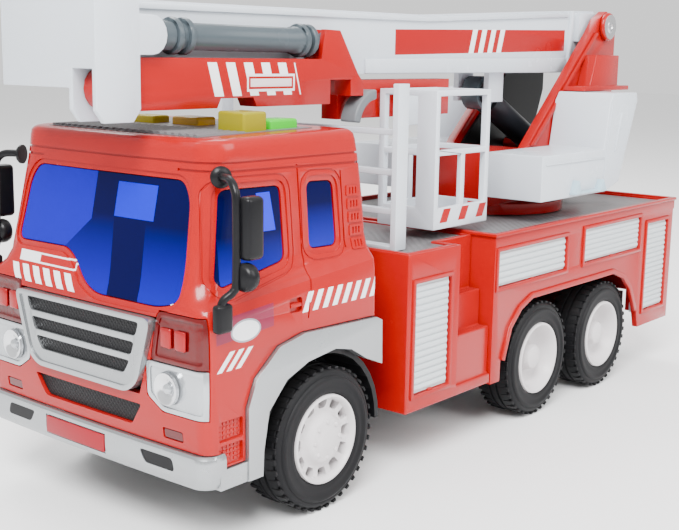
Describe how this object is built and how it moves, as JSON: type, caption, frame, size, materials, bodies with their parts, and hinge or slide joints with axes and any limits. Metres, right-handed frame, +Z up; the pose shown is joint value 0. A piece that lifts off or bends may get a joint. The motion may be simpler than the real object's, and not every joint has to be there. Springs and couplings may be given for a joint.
{
  "type": "toy platform fire engine",
  "caption": "Toy fire engine with a cab, roller-shutter bodies, slewing turntable, raising boom with folding stick, level rescue basket, rolling wheels and press keys.",
  "frame": {"origin": "centre of the bounding box at the ground under the tyres", "axes": "-Y is the front of the engine, +X its left side, +Z up"},
  "size_m": [0.1184, 0.304, 0.1576],
  "materials": {
    "red_plastic": "glossy",
    "white_plastic": "satin",
    "rim_plastic": "satin",
    "silver_plastic": "silver coated",
    "black_plastic": "matte",
    "ram_grey": "satin",
    "deck_grey": "raised tread pattern",
    "tyre": "moulded tread",
    "glazing": "mirror blue, polished",
    "clear_lamp": "clear lens over silver",
    "red_lamp": "clear red lens",
    "steel": "plated",
    "key_yellow": "satin",
    "key_green": "satin",
    "board": "etched board"
  },
  "bodies": {
    "body": {"chassis": "black_plastic", "cab_shell": "red_plastic", "windscreen": "glazing", "glazing_left": "glazing", "glazing_right": "glazing", "grille": "silver_plastic", "bumper_fenders": "silver_plastic", "headlight_left": "clear_lamp", "headlight_right": "clear_lamp", "red_lamp_left": "red_lamp", "red_lamp_right": "red_lamp", "roof_panel": "black_plastic", "mirror_left": "black_plastic", "mirror_right": "black_plastic", "mid_body": "red_plastic", "mid_deck": "deck_grey", "mid_shutter_left": "silver_plastic", "mid_shutter_right": "silver_plastic", "boom_rest": "white_plastic", "rear_body": "red_plastic", "rear_deck": "deck_grey", "rear_shutters_left": "silver_plastic", "rear_shutters_right": "silver_plastic", "battery_cover": "black_plastic", "circuit_board": "board", "speaker": "black_plastic", "motor_housing": "white_plastic"},
    "wheels_front": {"axle_front": "steel", "rim_front_left": "rim_plastic", "rim_front_right": "rim_plastic", "tyre_front_left": "tyre", "tyre_front_right": "tyre"},
    "wheels_rear_1": {"axle_rear_1": "steel", "rim_rear_1_left": "rim_plastic", "rim_rear_1_right": "rim_plastic", "tyre_rear_1_left": "tyre", "tyre_rear_1_right": "tyre"},
    "wheels_rear_2": {"axle_rear_2": "steel", "rim_rear_2_left": "rim_plastic", "rim_rear_2_right": "rim_plastic", "tyre_rear_2_left": "tyre", "tyre_rear_2_right": "tyre"},
    "inertia_wheel": {"flywheel": "steel"},
    "slew": {"turntable": "red_plastic", "slew_retainer": "black_plastic", "cover_left": "white_plastic", "cover_right": "white_plastic", "pivot_bolt": "steel"},
    "boom": {"main_boom": "white_plastic", "boom_head": "white_plastic"},
    "lift_ram_barrel": {"lift_barrel": "ram_grey"},
    "lift_ram_rod": {"lift_rod": "ram_grey"},
    "stick": {"stick_boom": "red_plastic"},
    "stick_ram_barrel": {"stick_barrel": "ram_grey"},
    "stick_ram_rod": {"stick_rod": "ram_grey"},
    "rescue_basket": {"basket": "white_plastic"},
    "button_yellow_key": {"button_yellow": "key_yellow"},
    "button_orange_key": {"button_orange": "key_yellow"},
    "button_siren_key": {"button_siren": "key_yellow"},
    "button_green_key": {"button_green": "key_green"}
  },
  "joints": [
    {"name": "roll_front", "type": "hinge", "parent": "body", "child": "wheels_front", "pos_m": [0, -0.0901, 0.0225], "axis": [1, 0, 0], "continuous": true},
    {"name": "roll_rear_1", "type": "hinge", "parent": "body", "child": "wheels_rear_1", "pos_m": [0, 0.0364, 0.0225], "axis": [1, 0, 0], "continuous": true},
    {"name": "roll_rear_2", "type": "hinge", "parent": "body", "child": "wheels_rear_2", "pos_m": [0, 0.0889, 0.0225], "axis": [1, 0, 0], "continuous": true},
    {"name": "inertia_spin", "type": "hinge", "parent": "body", "child": "inertia_wheel", "pos_m": [0, 0.0429, 0.02915], "axis": [1, 0, 0], "continuous": true},
    {"name": "turntable_slew", "type": "hinge", "parent": "body", "child": "slew", "pos_m": [0, 0.074, 0.074], "axis": [0, 0, 1], "continuous": true},
    {"name": "boom_lift", "type": "hinge", "parent": "slew", "child": "boom", "pos_m": [0, 0.1336, 0.1506], "axis": [-1, 0, 0], "range_deg": [0, 45]},
    {"name": "lift_ram_swing", "type": "hinge", "parent": "slew", "child": "lift_ram_barrel", "pos_m": [0, 0.11, 0.098], "axis": [-1, 0, 0], "range_deg": [0, 35.27]},
    {"name": "lift_ram_extend", "type": "slide", "parent": "lift_ram_barrel", "child": "lift_ram_rod", "axis": [0, -0.8944, 0.4472], "range_m": [0, 0.04305]},
    {"name": "stick_fold", "type": "hinge", "parent": "boom", "child": "stick", "pos_m": [0.0158, -0.143, 0.127], "axis": [-1, 0, 0], "range_deg": [0, 22.55]},
    {"name": "stick_ram_swing", "type": "hinge", "parent": "boom", "child": "stick_ram_barrel", "pos_m": [0.0158, -0.132, 0.1415], "axis": [-1, 0, 0], "range_deg": [0, 24.91]},
    {"name": "stick_ram_extend", "type": "slide", "parent": "stick_ram_barrel", "child": "stick_ram_rod", "axis": [0, 1, -0.0065], "range_m": [0, 0.00642]},
    {"name": "basket_level", "type": "hinge", "parent": "stick", "child": "rescue_basket", "pos_m": [0.0126, -0.004, 0.1215], "axis": [-1, 0, 0], "range_deg": [-67.55, 0]},
    {"name": "button_yellow_press", "type": "slide", "parent": "body", "child": "button_yellow_key", "axis": [0, 0, -1], "range_m": [0, 0.0015], "stiffness_N_per_m": 200},
    {"name": "button_orange_press", "type": "slide", "parent": "body", "child": "button_orange_key", "axis": [0, 0, -1], "range_m": [0, 0.0015], "stiffness_N_per_m": 200},
    {"name": "button_siren_press", "type": "slide", "parent": "body", "child": "button_siren_key", "axis": [0, 0, -1], "range_m": [0, 0.0015], "stiffness_N_per_m": 200},
    {"name": "button_green_press", "type": "slide", "parent": "body", "child": "button_green_key", "axis": [0, 0, -1], "range_m": [0, 0.0015], "stiffness_N_per_m": 200}
  ],
  "couplings": [
    {"joint": "inertia_spin", "follows": "roll_rear_1", "ratio": -1.25},
    {"joint": "lift_ram_swing", "follows": "boom_lift", "ratio": 0.78276},
    {"joint": "lift_ram_extend", "follows": "boom_lift", "m_per_rad": 0.054688},
    {"joint": "stick_fold", "follows": "boom_lift", "ratio": 0.5},
    {"joint": "stick_ram_swing", "follows": "boom_lift", "ratio": 0.55245},
    {"joint": "stick_ram_extend", "follows": "boom_lift", "m_per_rad": 0.0080439},
    {"joint": "basket_level", "follows": "boom_lift", "ratio": -1.5}
  ]
}
